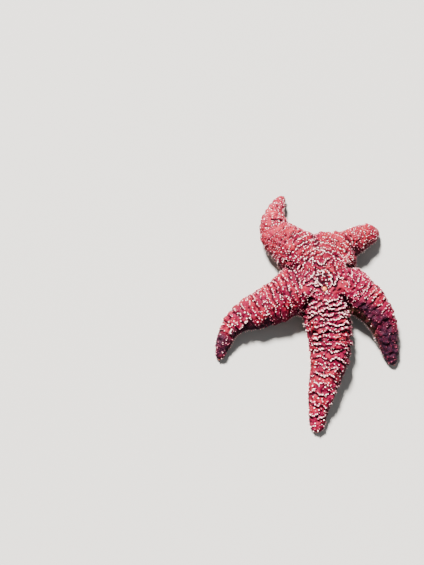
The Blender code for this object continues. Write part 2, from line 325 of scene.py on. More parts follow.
def arch_over(name, distance):
    """Points on the skin in a line over the arm at this distance, from low on its left side to its right."""
    arm = ARMS[name]
    middle, arm_way = line_at(name, distance)
    left = np.cross(UP, arm_way)
    middle = middle + UP * CORE_SHARE * read_off(arm.crest, distance)
    found = []
    for degrees in ARCH_DEGREES:
        turn = math.radians(degrees)
        ray = left * math.cos(turn) + UP * math.sin(turn)
        hit = smooth_tree.ray_cast(middle, ray, ARCH_REACH * read_off(arm.width, distance))[0]
        if hit is not None:
            found.append(hit)
    return np.array(found), arm_way


for name, arm in ARMS.items():
    fold_ends = list(arm.folds) + [arm.length + 3]
    for row, (start, end) in enumerate(zip(fold_ends, fold_ends[1:])):
        distance = min((start + end) / 2, arm.length - 1.0)
        arch, arm_way = arch_over(name, distance)
        if len(arch) < 4:
            continue
        run = np.concatenate([[0], np.cumsum(np.linalg.norm(np.diff(arch, axis=0), axis=1))])
        spacing = float(np.clip(0.6 * (end - start) + 3.4, 6.5, 9.5))
        count = max(3, round(run[-1] / spacing))
        spots = (np.arange(count) + 0.25 + 0.5 * (row % 2) + chance.uniform(-0.26, 0.26, count)) / count
        terrace = 1.3 if distance < SLENDER * arm.length else 0.8
        if name == "front" and distance < HIGH_TERRACES:
            terrace = 3.0
        gap = 1.15 if name == "front" else 1.9
        gap = np.interp(distance / arm.length, (0.48, 0.6, 0.75, 1), (gap, 3.0, 3.6, 3.0))
        for spot in spots:
            place = np.array([np.interp(spot * run[-1], run, arch[:, axis]) for axis in range(3)])
            place = place + arm_way * chance.uniform(-0.16, 0.16) * (end - start)
            add_plate(place, arm_way, (end - start) / 2, terrace * chance.uniform(0.7, 1.2), gap, spacing)

plate_tree = tree_of([plate.place for plate in plates])
plate_places, plate_ways, plate_reaches, plate_terraces, plate_gaps = map(np.array, zip(*plates))

# Waves in the places, so that the lines between plates wander.
wander = 1.3 * np.sin(points[:, [1, 2, 0]] * 0.31 + (0.9, 2.7, 1.9))
wander += 0.8 * np.sin(points[:, [1, 2, 0]] * 0.62 + (0.3, 1.7, 2.9))
wander += 0.45 * np.sin(points[:, [2, 0, 1]] * 1.31 + (2.1, 0.4, 1.2))
looked_up = [plate_tree.find_n(place, 2) for place in (points + wander).tolist()]
first = np.array([found[0][1] for found in looked_up])
second = np.array([found[1][1] for found in looked_up])
first_gap = np.array([found[0][2] for found in looked_up])
second_gap = np.array([found[1][2] for found in looked_up])
to_second = plate_places[second] - plate_places[first]
plate_span = np.linalg.norm(to_second, axis=1)
to_second /= plate_span[:, None]
to_line = (second_gap**2 - first_gap**2) / (2 * plate_span)
crossing = np.abs((to_second * plate_ways[first]).sum(axis=1))
terrace_here = plate_terraces[first]

# How firmly each line between two plates holds: by chance on the disc, and on the arms if it runs across.
pair = np.minimum(first, second) * 977 + np.maximum(first, second) * 131
tie = np.modf(np.abs(np.sin(pair * 12.9898)) * 43758.5)[0]
on_arm = rise(0, 9, along - np.array([ARMS[name].folds[0] - 6 for name in ARM_NAMES])[owner])
hold = rise(0.2, 0.8, tie * (1 - 0.5 * on_arm) + crossing * (0.5 + 0.5 * on_arm) - 0.22 - 0.25 * on_arm)
up_plate = ((points + wander - plate_places[first]) * plate_ways[first]).sum(axis=1) / plate_reaches[first]

# The crests that stand out run across every arm from the disc out, row after row, and drop away towards the
# tip. Each arm's rows go from start to end along it, and from low to high across it as shares of its half
# width. They bow outwards, and hang in lobes.
Rows = collections.namedtuple("Rows", "start end first_step last_step low high bow lobe lobes height spacing")
CREST_ROWS = {
    "front": Rows(25, 147, 4.4, 12.0, -0.86, 0.84, 2.0, 3.6, 1.2, 1.9, 1.3),
    "right": Rows(30, 84, 5.2, 8.5, -0.2, 0.86, 3.0, 1.6, 1.0, 1.35, 1.6),
    "back_right": Rows(22, 78, 5.0, 11.0, -0.8, 0.8, 5.0, 1.0, 0.8, 1.25, 1.6),
    "back_left": Rows(21, 54, 4.4, 7.0, -0.8, 0.84, 5.5, 1.0, 0.8, 1.4, 1.45),
    "left": Rows(26, 112, 5.4, 7.5, -0.84, 0.8, 1.5, 1.6, 0.8, 1.25, 1.7),
}
CREST_CORNERS = 3.4
CREST_BREAK = 0.24
CREST_LOSS = 0.25
crests = []


def spot_on(name, distance, share):
    """A place on an arm, from the middle of the disc. The share is of half the arm's width, to its left."""
    middle, way = line_at(name, distance)
    half = 0.5 * read_off(ARMS[name].width, max(distance, 30))
    return middle[:2] - DISC_MIDDLE[:2] + np.array([-way[1], way[0]]) * share * half


def add_row_part(rows, progress, corners):
    """Adds a stretch of a row: how high it stands, the spacing of its spines, and its corners from above."""
    height = rows.height * (1 - CREST_LOSS * progress) * chance.uniform(0.5, 1.2)
    crests.append((height, rows.spacing, corners))


for name, rows in CREST_ROWS.items():
    distance = rows.start
    while distance < rows.end:
        progress = (distance - rows.start) / (rows.end - rows.start)
        half = 0.5 * read_off(ARMS[name].width, distance)
        slant = chance.uniform(-1.6, 1.6)
        phase = chance.uniform(0, 1)
        corners = []
        for share in np.arange(rows.low + chance.uniform(0, 0.2), rows.high, CREST_CORNERS / half):
            hang = rows.lobe * abs(math.sin(math.pi * (rows.lobes * share + phase)))
            corners.append(spot_on(name, distance + slant * share - rows.bow * share**2 + hang, share))
            if len(corners) > 2 and chance.uniform() < CREST_BREAK:
                add_row_part(rows, progress, corners)
                corners = []
        if len(corners) > 1:
            add_row_part(rows, progress, corners)
        step = rows.first_step + (rows.last_step - rows.first_step) * progress
        distance += step + chance.uniform(-0.5, 0.5)

# Round the middle of the disc stand a star, with a ray towards each arm, and a flower of small loops.
STAR_REACH = 21.0
STAR_SHOULDER = 0.66 * STAR_REACH
STAR_WAIST = 12.5
STAR_HEIGHT = 1.5
PETALS = 7
PETAL_SIZE = 2.8
FLOWER_SIZE = 7.0
HEART_SIZE = 2.4


def facing(turn):
    """The level way at this turn from +X, seen from above."""
    return np.array([math.cos(turn), math.sin(turn)])


def add_loop(height, spacing, middle, radius, turns):
    """Adds a crest round this middle, with its corners at these turns."""
    crests.append((height, spacing, list(middle + radius * np.stack([np.cos(turns), np.sin(turns)], axis=1))))


headings = sorted(math.radians(arm.course[0][1]) for arm in ARMS.values())
neighbours = list(zip(headings, headings[1:] + [headings[0] + math.tau]))
for here, after in neighbours:
    between = (here + after) / 2
    turns = ((here, STAR_REACH), ((here + between) / 2, STAR_SHOULDER), (between, STAR_WAIST))
    turns += (((after + between) / 2, STAR_SHOULDER), (after, STAR_REACH))
    ray = [facing(turn) * reach + chance.normal(0, 1.6, 2) for turn, reach in turns]
    if ray[0][0] > ray[-1][0]:
        ray = ray[::-1]
    crests.append((STAR_HEIGHT * chance.uniform(0.7, 1.1), 1.3, ray[:3]))
    crests.append((STAR_HEIGHT * chance.uniform(0.4, 1.1), 1.5, ray[2:]))
for index in range(PETALS):
    turn = math.tau * (index + 0.3) / PETALS
    middle = CLUSTER[:2] + FLOWER_SIZE * facing(turn) * chance.uniform(0.85, 1.15)
    add_loop(1.5, 1.2, middle, PETAL_SIZE, np.linspace(turn - 2.3, turn + 2.3, 7))
add_loop(1.2, 1.2, CLUSTER[:2], HEART_SIZE, np.linspace(0.4, 5.6, 6))

# The deepest creases lie across an arm at its bend, from one share of its half width to another: the arm,
# the distance along it, the two shares, then the crease's width and depth.
CREASES = (
    ("back_left", 82, -0.95, 0.2, 1.2, 2.3),
    ("back_right", 50, -0.9, 0.2, 2.6, 1.8),
    ("front", 56, -0.95, -0.7, 2.4, 2.0),
)

# Cushions: smooth swollen places with no spines, at even steps along the inner half of every arm, now left
# and now right of its middle line.
CUSHION_START = 17
CUSHION_STEP = 23
CUSHION_SHARE = 0.3
CUSHION_RADIUS = 5.0

# The left arm's lit back ends in lobes along its lower side. Each lobe swells slowly and ends at once.
BROW_START = 47.0
BROW_LOBE = 19.0
BROW_BITE = 0.36


def waver(spots):
    """How far a line through these spots, seen from above, strays from its straight runs."""
    crossed = spots[:, ::-1]
    return 0.55 * np.sin(crossed * 0.95 + (0.4, 2.2)) + 0.4 * np.sin(crossed * 2.1 + (1.7, 0.6))


def off_line(corners):
    """How far each point of the skin lies from a line with these corners, from above, and to its right."""
    best = np.full(len(points), np.inf)
    to_right = np.zeros(len(points))
    spots = from_above - waver(from_above)
    for start, end in zip(np.array(corners), np.array(corners[1:])):
        step = end - start
        share = np.clip((spots - start) @ step / (step @ step), 0, 1)
        away = spots - start - share[:, None] * step
        gap = np.linalg.norm(away, axis=1)
        nearer = gap < best
        best[nearer] = gap[nearer]
        to_right[nearer] = (away @ (step[1], -step[0]) / np.linalg.norm(step))[nearer]
    return best, to_right


def brow_line(distance):
    """How far out the brow reaches at this distance along the arm, as a share of half its width."""
    swollen = (distance - BROW_START) / BROW_LOBE % 1
    full = np.interp(distance, (40, 66, 85, 103, 120), (1.0, 0.96, 0.8, 0.66, 0.3))
    return full - rise(50, 72, distance) * BROW_BITE * (1 - swollen) ** 1.5


on_left_arm = on_arm_named["left"] * rise(36, 46, along) * (1 - rise(112, 126, along))
past_brow = rise(-0.03, 0.09, leaning - brow_line(along)) * on_left_arm

welt, crest_band, crease_shade, crease_depth, near_crest, cushion = np.zeros((6, len(points)))
for height, _, corners in crests:
    gap, to_right = off_line(corners)
    near_crest = np.maximum(near_crest, rise(0.4, 1.1, height) * (1 - rise(2.2, 6.0, gap)))
    band = bell(gap, 0.6 + 0.2 * height)
    welt = np.maximum(welt, height * band)
    crest_band = np.maximum(crest_band, rise(0.4, 1.9, height) * band * back)
    # On each crest's tip side the skin dips, and the dip is painted dark as the crest's shadow.
    drop = bell(to_right - 1.2 - 0.3 * height, 0.85) * rise(-3.2, -2.0, -gap) * back
    crease_shade = np.maximum(crease_shade, rise(0.6, 2.0, height) * drop)
    crease_depth = np.maximum(crease_depth, 0.75 * height * drop)
for name, distance, low, high, width, depth in CREASES:
    corners = [spot_on(name, distance, share) for share in np.linspace(low, high, 4)]
    dip = bell(off_line(corners)[0], width) * back
    # The floor of each deep crease is painted dark as shade.
    crease_shade = np.maximum(crease_shade, dip * rise(0.4, 1.0, depth / width))
    crease_depth = np.maximum(crease_depth, depth * dip)
for number, (name, arm) in enumerate(ARMS.items()):
    for index, distance in enumerate(range(CUSHION_START + 2 * number, arm.length // 2, CUSHION_STEP)):
        share = CUSHION_SHARE * (-1) ** (number + index)
        gap = np.linalg.norm(from_above - spot_on(name, distance, share), axis=1)
        cushion = np.maximum(cushion, (1 - rise(0.55, 1.1, gap / CUSHION_RADIUS)) * back)

# How high each point stands over the smoothed skin, in millimetres: terraces and ridges of the plates, welts
# on the crests, and swellings of three sizes. They are calmer where a crest is near.
hold = hold * (1 - rise(0.1, 0.5, cushion)) * (1 - 0.85 * near_crest)
hold = hold * (1 - 0.65 * on_arm_named["right"] * rise(40, 55, along))
ridge = bell(to_line, 0.85) * hold * back
flank = rise(-0.55, 0.1, normals[:, 2])
calm = 1 - 0.7 * near_crest * (1 - 0.5 * on_arm)
terrace = terrace_here * 0.5 * (1 + np.clip(up_plate, -1.1, 1.1)) * flank * calm
foot = bell(to_line - 1.2, 1.1) * crossing * rise(0.2, 0.9, -up_plate) * back * calm
puff = 0.4 * (1 - bell(to_line, 2.2)) * back * calm
lumps = 0.5 * np.sin(points @ (0.21, 0.13, 0.1) + 0.4) + 0.5 * np.sin(points @ (-0.16, 0.24, 0.1) + 1.9)
cobbles = np.sin(points @ (1.7, 0.5, 0.9)) * np.sin(points @ (-0.4, 1.6, 0.8) + 1.1)
swells = np.sin(points @ (0.62, 0.2, 0.3)) * np.sin(points @ (-0.25, 0.66, 0.2) + 0.7)
knobs = bell(first_gap, 1.4) * rise(2.4, 3.0, plate_gaps[first])
lift = terrace + 1.4 * ridge + puff + welt * back - 0.35 * foot * terrace_here - crease_depth
fine = 0.3 * cobbles * calm + 0.7 * swells * (0.4 + 0.6 * calm) + 0.6 * knobs
lift = lift + fine * back - 1.3 * past_brow
lift = lift + 0.7 * cushion + 0.8 * lumps * back - 0.55 * terrace_here * back - 0.4
lift = lift * rise(2, 9, eye_gap) + 0.9 * bell(eye_gap - 5, 3.5)
lift = even_out(lift + 1.1 * on_arm_named["front"] * bell(eye_gap - 9, 7), 1)

# The skin, and all that stands out from it, stays this far above the floor.
FLOOR_SKIN = 0.03
BROW_SWELL = 4.5
lean = 0.45 * terrace * rise(0.3, 1.0, up_plate) * rise(2, 9, eye_gap)
skin_points = points + normals * lift[:, None] + plate_ways[first] * lean[:, None]
swell_out = BROW_SWELL * rise(0.55, 1.0, leaning) * on_left_arm * rise(40, 54, along)
swell_out = swell_out * (1 - rise(74, 98, along))
skin_points = skin_points + np.cross(UP, way) * swell_out[:, None]
skin_points = even_out(skin_points, 1)
skin_points[:, 2] = np.maximum(skin_points[:, 2], FLOOR_SKIN)
skin_mesh.vertices.foreach_set("co", (skin_points * MM).ravel())
skin_mesh.name = "skin"

# What the finish reads at each point: creases get painted shade, each arm's lit side is painted warmer, and
# some sides get painted shade. The right arm's painted shade has its edge at these shares of its half width
# along the arm.
SHADE_EDGE = ((40, -0.5), (55, -0.2), (70, 0.1), (84, 0.6), (94, 1.6))
SHADOW_SPOT = (34, 31)
LIT_SIDES = {"front": 1, "right": 0, "back_right": -1, "back_left": -1, "left": 1}
hollow = ((even_out(skin_points, 9) - skin_points) * normals).sum(axis=1)
# More painted shade: at the foot of the plates' terraces, in hollows of the skin, and among the loops round
# the middle of the disc.
crease_shade = np.maximum(crease_shade, 0.8 * foot * np.clip(terrace_here, 0.4, 1))
crease_shade = np.clip(crease_shade + rise(0.06, 0.42, hollow) * back, 0, 1)
cluster = np.exp(-((np.linalg.norm(from_above - CLUSTER[:2], axis=1) / 8) ** 4)) * back
crease_shade = np.clip(crease_shade + 0.4 * cluster * (1 - ridge), 0, 1)
right_arm = on_arm_named["right"] * rise(34, 50, along)
from_shadow_spot = np.linalg.norm(from_above - SHADOW_SPOT, axis=1)
# Painted shade: the right arm's inner half and tip, the left arm below its brow and at its tip, the front
# arm's right side, and a painted shadow of the disc on the back right arm.
shade = np.max(
    [
        right_arm * rise(-0.2, 0.2, read_off(SHADE_EDGE, along) - leaning),
        1.3 * right_arm * rise(80, 92, along),
        past_brow,
        0.8 * on_arm_named["back_right"] * (1 - rise(3, 12, from_shadow_spot)),
        on_arm_named["left"] * rise(110, 122, along),
        on_arm_named["front"] * rise(40, 60, along) * rise(0.7, 1.0, leaning) * 0.6,
    ],
    axis=0,
)
fade = on_arm_named["back_left"] * rise(40, 62, along)
fade = np.maximum(fade, 0.3 * on_arm_named["back_right"] * rise(44, 60, along))
under = 1 - rise(-0.7, -0.2, normals[:, 2])
under = np.maximum(under, 0.9 * right_arm * rise(0.74, 0.84, -leaning) * (1 - rise(96, 108, along)))
side = rise(0.5, 1.0, np.abs(aside) / half_width) * rise(30, 50, np.linalg.norm(from_above, axis=1))
# Warmth is partly the skin's own orange on swellings and lumps, and partly painted light: the margin on each
# arm's side towards the key light is painted warmer, and the right arm, in painted shade, mostly loses it.
lit_side = np.array([LIT_SIDES[name] for name in ARM_NAMES])[owner]
warmth_and_lit_sides = np.maximum(side * rise(0, 0.4, -leaning * lit_side), 0.6 * cushion)
warmth_and_lit_sides = np.clip(warmth_and_lit_sides + 0.25 * rise(0, 1, lumps) + 0.5 * on_arm_named["back_right"], 0, 1)
warmth_and_lit_sides = warmth_and_lit_sides * (1 - 0.9 * right_arm)
READINGS = {
    "ridge": np.maximum(ridge, crest_band),
    "crease_shade": crease_shade,
    "warmth_and_lit_sides": warmth_and_lit_sides,
    "under": under,
    "fade": fade,
    "shade": shade,
    # Painted shade on the steep sides and below: the less a side faces up, the darker it is painted.
    "flank": 1 - rise(0.0, 0.7, normals[:, 2]),
}
for label, values in READINGS.items():
    layer = skin_mesh.attributes.new(label, "FLOAT", "POINT")
    layer.data.foreach_set("value", values.astype(np.float32))
skin_mesh.polygons.foreach_set("use_smooth", [True] * len(skin_mesh.polygons))
skin_mesh.update()
skin = show("skin", skin_mesh)
skin_tree = BVHTree.FromPolygons(skin_points.tolist(), faces.tolist())


def colour(code):
    """The linear colour of a hex code, with full alpha."""
    parts = [int(code[i : i + 2], 16) / 255 for i in (0, 2, 4)]
    return [part / 12.92 if part <= 0.04045 else ((part + 0.055) / 1.055) ** 2.4 for part in parts] + [1.0]


class Finish:
    """A material as it is put together, with the means to add nodes and join them."""

    def __init__(self, name):
        self.material = bpy.data.materials.new(name)
        self.material.use_nodes = True
        self.nodes = self.material.node_tree.nodes
        self.links = self.material.node_tree.links
        self.shader = self.nodes["Principled BSDF"]
        self.object_place = self.nodes.new("ShaderNodeTexCoord").outputs["Object"]

    def set(self, node, socket, value):
        """Puts a constant or a hex code's colour in a socket, or joins another node's output to it."""
        if isinstance(value, bpy.types.NodeSocket):
            self.links.new(value, node.inputs[socket])
        elif isinstance(value, str):
            node.inputs[socket].default_value = colour(value)
        else:
            node.inputs[socket].default_value = value

    def noise(self, scale, detail):
        node = self.nodes.new("ShaderNodeTexNoise")
        self.set(node, "Vector", self.object_place)
        self.set(node, "Scale", scale)
        self.set(node, "Detail", detail)
        self.set(node, "Roughness", 0.55)
        return node.outputs["Fac"]

    def grains(self, scale):
        node = self.nodes.new("ShaderNodeTexVoronoi")
        self.set(node, "Vector", self.object_place)
        self.set(node, "Scale", scale)
        return node.outputs["Distance"]

    def read(self, label):
        node = self.nodes.new("ShaderNodeAttribute")
        node.attribute_name = label
        return node.outputs["Fac"]

    def ramp(self, value, low, high, bottom=0.0, top=1.0):
        """Stretches low..high to bottom..top and cuts off the rest."""
        node = self.nodes.new("ShaderNodeMapRange")
        node.interpolation_type = "SMOOTHSTEP"
        for socket, number in (("From Min", low), ("From Max", high), ("To Min", bottom), ("To Max", top)):
            self.set(node, socket, number)
        self.set(node, "Value", value)
        return node.outputs["Result"]

    def patches(self, scale, detail, low, high, bottom=0.0, top=1.0):
        """Soft-edged patches: noise, stretched."""
        return self.ramp(self.noise(scale, detail), low, high, bottom, top)

    def broken(self, label, scale, low, high, bottom, top):
        """An attribute, broken up by patches."""
        return self.times(self.read(label), self.patches(scale, 3, low, high, bottom, top))

    def times(self, first_value, second_value):
        node = self.nodes.new("ShaderNodeMath")
        node.operation = "MULTIPLY"
        self.set(node, 0, first_value)
        self.set(node, 1, second_value)
        return node.outputs[0]

    def blend(self, share, under_colour, over_colour):
        node = self.nodes.new("ShaderNodeMix")
        node.data_type = "RGBA"
        self.set(node, "Factor", share)
        self.set(node, 6, under_colour)
        self.set(node, 7, over_colour)
        return node.outputs[2]

    def bump(self, height, distance, strength, below=None):
        node = self.nodes.new("ShaderNodeBump")
        self.set(node, "Height", height)
        self.set(node, "Distance", distance)
        self.set(node, "Strength", strength)
        if below is not None:
            self.set(node, "Normal", below)
        return node.outputs["Normal"]

    def surface(self, tone, roughness, specular=0.5, normal=None):
        """Puts the parts on the shader, and returns the material."""
        self.set(self.shader, "Base Color", tone)
        self.set(self.shader, "Roughness", roughness)
        self.set(self.shader, "Specular IOR Level", specular)
        if normal is not None:
            self.set(self.shader, "Normal", normal)
        return self.material


def skin_finish():
    """Wet raspberry skin: orange-red swellings, pale welts, tan below; painted shade in creases and shaded
    sides, lit sides painted warmer.
    """
    finish = Finish("wet_skin")
    reds = finish.blend(finish.patches(48, 2, 0.4, 0.6), "690a2b", "731423")
    tone = finish.blend(finish.patches(95, 3, 0.36, 0.66), "52051f", reds)
    tone = finish.blend(finish.patches(520, 2, 0.35, 0.7, 0, 0.6), tone, "3c0214")
    # Orange-red on the swellings, and painted light on each arm's lit side.
    tone = finish.blend(finish.broken("warmth_and_lit_sides", 75, 0.35, 0.6, 0.1, 0.65), tone, "711919")
    tone = finish.blend(finish.broken("fade", 110, 0.3, 0.65, 0.15, 0.62), tone, "88272f")
    tone = finish.blend(finish.ramp(finish.read("ridge"), 0.45, 1.0, 0, 0.85), tone, "a14d62")
    # Painted shade: the steep sides go dark purple.
    tone = finish.blend(finish.broken("flank", 150, 0.35, 0.62, 0.45, 0.92), tone, "2f0418")
    # Painted shade: shaded sides go dark purple.
    tone = finish.blend(finish.broken("shade", 120, 0.3, 0.6, 0.7, 0.97), tone, "1b0a16")
    # Painted shade: the creases go near black.
    tone = finish.blend(finish.ramp(finish.read("crease_shade"), 0.1, 0.75, 0, 0.94), tone, "130208")
    belly = finish.blend(finish.patches(140, 3, 0.35, 0.65), "704932", "876548")
    # The underside is painted dark too where it lies in painted shade.
    belly = finish.blend(finish.times(finish.read("shade"), 0.9), belly, "1f0e0e")
    tone = finish.blend(finish.read("under"), tone, belly)
    gills = finish.ramp(finish.grains(880), 0.1, 0.75, 1, 0)
    grain = finish.bump(finish.noise(1500, 2), 0.0001, 0.6)
    normal = finish.bump(gills, 0.0003, 0.7, grain)
    return finish.surface(tone, finish.patches(240, 2, 0.3, 0.7, 0.44, 0.6), 0.03, normal)


skin_mesh.materials.clear()
skin_mesh.materials.append(skin_finish())
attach(skin, "root")
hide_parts(*FLESH)

# ---- Spines of the back ----
# Short blunt spines of white lime, each on a pink stalk of skin. Along the lines between plates they stand
# so close that they run together in chains; towards the tips they stand apart.

SPINE_PROFILE = ((0.0, -0.6), (0.8, -0.6), (0.62, 0.2), (0.63, 0.74), (0.43, 1.02), (0.0, 1.12))
SPINE_SIDES = 7


def spin_profile(profile, steps):
    """A shape turned round Z from its profile of radius and height."""
    shape = bmesh.new()
    verts = [shape.verts.new((radius, 0.0, height)) for radius, height in profile]
    edges = [shape.edges.new(ends) for ends in zip(verts, verts[1:])]
    bmesh.ops.spin(shape, geom=verts + edges, axis=(0, 0, 1), angle=math.tau, steps=steps, use_merge=True)
    bmesh.ops.remove_doubles(shape, verts=shape.verts, dist=0.001)
    return shape


def template_of(profile, steps):
    """The points and the triangles of a turned shape."""
    shape = spin_profile(profile, steps)
    bmesh.ops.recalc_face_normals(shape, faces=shape.faces)
    bmesh.ops.triangulate(shape, faces=shape.faces)
    shape.verts.ensure_lookup_table()
    corners = np.array([vert.co[:] for vert in shape.verts])
    triangles = np.array([[vert.index for vert in face.verts] for face in shape.faces])
    shape.free()
    return corners, triangles


# The unwrap that the small pieces share: its edge, the length it takes in, and a small piece's size on it.
MAP_EDGE = 0.02
MAP_LENGTH = 160
MAP_DOT = 0.0015


def round_body(places):
    """Where places lie on an unwrap of the skin, round the arm or disc and along it, both from 0 to 1."""
    number, distance, offset, _ = lie_of(places)
    share = np.zeros((len(places), 2))
    for index, name in enumerate(ARM_NAMES):
        mine = number == index
        level = CORE_SHARE * read_off(ARMS[name].crest, distance[mine])
        share[mine, 0] = 0.5 + np.arctan2(offset[mine], places[mine, 2] - level) / math.tau
        share[mine, 1] = distance[mine] / MAP_LENGTH
    return MAP_EDGE + (1 - 2 * MAP_EDGE) * share


def set_out(name, template, roots, ways, widths, heights, painted_shade=0.0):
    """One mesh with a copy of the template at every root, upright along its way."""
    corners, triangles = template
    count = len(roots)
    helper = np.where(np.abs(ways[:, 2:]) < 0.9, UP, np.array([1.0, 0.0, 0.0]))
    first_side = np.cross(helper, ways)
    first_side /= np.linalg.norm(first_side, axis=1, keepdims=True)
    second_side = np.cross(ways, first_side)
    spin = chance.uniform(0, math.tau, count)[:, None]
    x_side = first_side * np.cos(spin) + second_side * np.sin(spin)
    y_side = np.cross(ways, x_side)
    shaped = (
        roots[:, None]
        + corners[None, :, 0:1] * widths[:, None, None] * x_side[:, None]
        + corners[None, :, 1:2] * widths[:, None, None] * y_side[:, None]
        + corners[None, :, 2:3] * heights[:, None, None] * ways[:, None]
    ).reshape(-1, 3)
    shaped[:, 2] = np.maximum(shaped[:, 2], FLOOR_SKIN)
    joined = (triangles[None] + np.arange(count)[:, None, None] * len(corners)).reshape(-1, 3)
    mesh = bpy.data.meshes.new(name)
    mesh.vertices.add(len(shaped))
    mesh.vertices.foreach_set("co", (shaped * MM).ravel())
    mesh.loops.add(joined.size)
    mesh.loops.foreach_set("vertex_index", joined.ravel())
    mesh.polygons.add(len(joined))
    mesh.polygons.foreach_set("loop_start", np.arange(0, joined.size, 3))
    mesh.polygons.foreach_set("use_smooth", np.ones(len(joined), dtype=bool))
    share = np.clip(corners[:, 2] / corners[:, 2].max(), 0, 1)
    patch = corners[:, :2] / np.maximum(np.linalg.norm(corners[:, :2], axis=1, keepdims=True), 1e-6)
    patch *= MAP_DOT * (1 - 0.94 * share[:, None])
    spots = (round_body(roots)[:, None] + patch[None]).reshape(-1, 2)
    mesh.uv_layers.new(name="OFBake").data.foreach_set("uv", spots[joined.ravel()].ravel())
    layer = mesh.attributes.new("rise", "FLOAT", "POINT")
    # Spines in painted shade are painted less white, as if shaded.
    pallor = np.clip(widths * chance.uniform(0.6, 1.3, count), 0.42, 1.0) * (1 - np.ravel(painted_shade))
    layer.data.foreach_set("value", (share[None] * pallor[:, None]).ravel().astype(np.float32))
    mesh.update(calc_edges=True)
    mesh.validate()
    return show(name, mesh)


def spine_finish():
    """White lime, faintly cream, on a stalk of pink skin."""
    finish = Finish("spine_lime")
    cream = finish.blend(finish.patches(260, 2, 0.35, 0.65), "f8ccc8", "ffe6de")
    stalk = finish.blend(finish.patches(90, 2, 0.35, 0.65), "7a1030", "b04a62")
    tone = finish.blend(finish.ramp(finish.read("rise"), 0.15, 0.75), stalk, cream)
    normal = finish.bump(finish.noise(2600, 2), 0.00006, 0.6)
    return finish.surface(tone, finish.patches(300, 2, 0.3, 0.7, 0.36, 0.5), normal=normal)


def thin_out(places, gap):
    """The numbers of the places that stay when each keeps this gap from those kept before it."""
    kept = []
    cells = {}
    for index, place in enumerate(places):
        cell = (place // gap).astype(int)
        near = [
            other
            for step in np.ndindex(3, 3, 3)
            for other in cells.get((cell[0] + step[0] - 1, cell[1] + step[1] - 1, cell[2] + step[2] - 1), ())
        ]
        if all(np.linalg.norm(place - places[other]) > gap for other in near):
            kept.append(index)
            cells.setdefault(tuple(cell), []).append(index)
    return np.array(kept)


# Spines stand off the eyespots, the cushions' tops and the deep creases, and keep clear of the sieve plate.
EYE_ROOM = 3.5
DEEP = 0.6
SPINE_GAP = 1.1
MADREPORITE = DISC_MIDDLE + (-1.5, -14.5, 0)
MADREPORITE_ROOM = 3.7
DISC_RADIUS = 40
stands = []

# On the crests: set out along each, from corner to corner.
for height, step, corners in crests:
    for start, end in zip(np.array(corners), np.array(corners[1:])):
        count = max(1, round(np.linalg.norm(end - start) / step))
        for share in (np.arange(count) + 0.5) / count:
            spot = start + share * (end - start) + chance.normal(0, 0.22, 2)
            hit = drop_onto(skin_tree, DISC_MIDDLE[:2] + spot + waver(spot[None])[0])
            if hit is not None:
                stands.append((np.array(hit), 0.66 + 0.14 * height))

# On the margins: one line along each side of every arm, where the lit back ends.
MARGIN_STEPS = {("front", -1): 3.4, ("left", 1): 1.7, ("back_left", 1): 1.4}
MARGIN_STEP = 2.2
for name, arm in ARMS.items():
    for side_sign in (-1, 1):
        step = MARGIN_STEPS.get((name, side_sign), MARGIN_STEP)
        for distance in np.arange(arm.folds[0] - 2, arm.length - 4, step):
            arch, _ = arch_over(name, distance)
            edge = 0.86 + 0.1 * math.sin(distance * 0.75)
            if name == "left" and side_sign > 0:
                edge = brow_line(distance)
            offsets = side_sign * lie_of(arch)[2] / (0.5 * read_off(arm.width, distance))
            inside = np.flatnonzero(offsets < edge)
            stands.append((arch[inside[0] if side_sign > 0 else inside[-1]], 0.92))

# In chains: the points of skin nearest each line between two plates, put in order and spaced out.
on_line = (to_line < 1.1) & (back > 0.12) & (hold > 0.25) & (crease_depth < DEEP) & (eye_gap > EYE_ROOM)
line_spots = (skin_points + to_second * (to_line - 0.25 * crossing)[:, None])[on_line]
line_key = np.minimum(first, second)[on_line] * len(plates) + np.maximum(first, second)[on_line]
order = np.argsort(line_key, kind="stable")
for group in np.split(order, np.flatnonzero(np.diff(line_key[order])) + 1):
    if len(group) < 3:
        continue
    spots = line_spots[group]
    source = np.flatnonzero(on_line)[group[0]]
    run = (spots - spots[0]) @ np.cross(to_second[source], normals[source])
    in_order = np.argsort(run)
    run = run[in_order]
    length = run[-1] - run[0]
    strong = hold[source] * (0.5 + 0.5 * crossing[source])
    gap = 0.5 * (plate_gaps[first[source]] + plate_gaps[second[source]]) * (1.5 - 0.5 * strong)
    count = max(1, round(length / gap))
    targets = run[0] + length * (np.arange(count) + 0.5) / count
    chain = np.stack([np.interp(targets, run, spots[in_order, axis]) for axis in range(3)], axis=1)
    fused = 0.2 * (plate_gaps[first[source]] < 1.3)
    stands += [(spot, 0.46 + 0.34 * strong + 0.3 * rise(2.4, 3.6, gap) + fused) for spot in chain]

# One on each plate that stands apart, and loose ones on the open skin, closer on the two back arms.
APART = 2.6
LOOSE_TRIED = 9000
LOOSE_GAP = 3.1
LOOSE_GAP_BACK = 2.1
stands += [(plate.place, 1.0) for plate in plates if plate.gap > APART]
open_back = (back > 0.12) & (cushion < 0.2) & (crease_depth < DEEP) & (eye_gap > EYE_ROOM)
sparse = chance.uniform(size=len(points)) > 0.6 * near_crest
loose = np.flatnonzero((to_line > 1.3) & open_back & sparse & (welt < 0.2))
loose = loose[chance.permutation(len(loose))][:LOOSE_TRIED]
loose_parts = []
for part, gap in ((loose[~on_back_arms[loose]], LOOSE_GAP), (loose[on_back_arms[loose]], LOOSE_GAP_BACK)):
    loose_parts.append(part[thin_out(skin_points[part], gap)])
loose = np.concatenate(loose_parts)
spots, sizes = (np.array(column) for column in zip(*stands))
spots = np.concatenate([spots, skin_points[loose]])
sizes = np.concatenate([sizes, chance.uniform(0.4, 0.65, len(loose))])

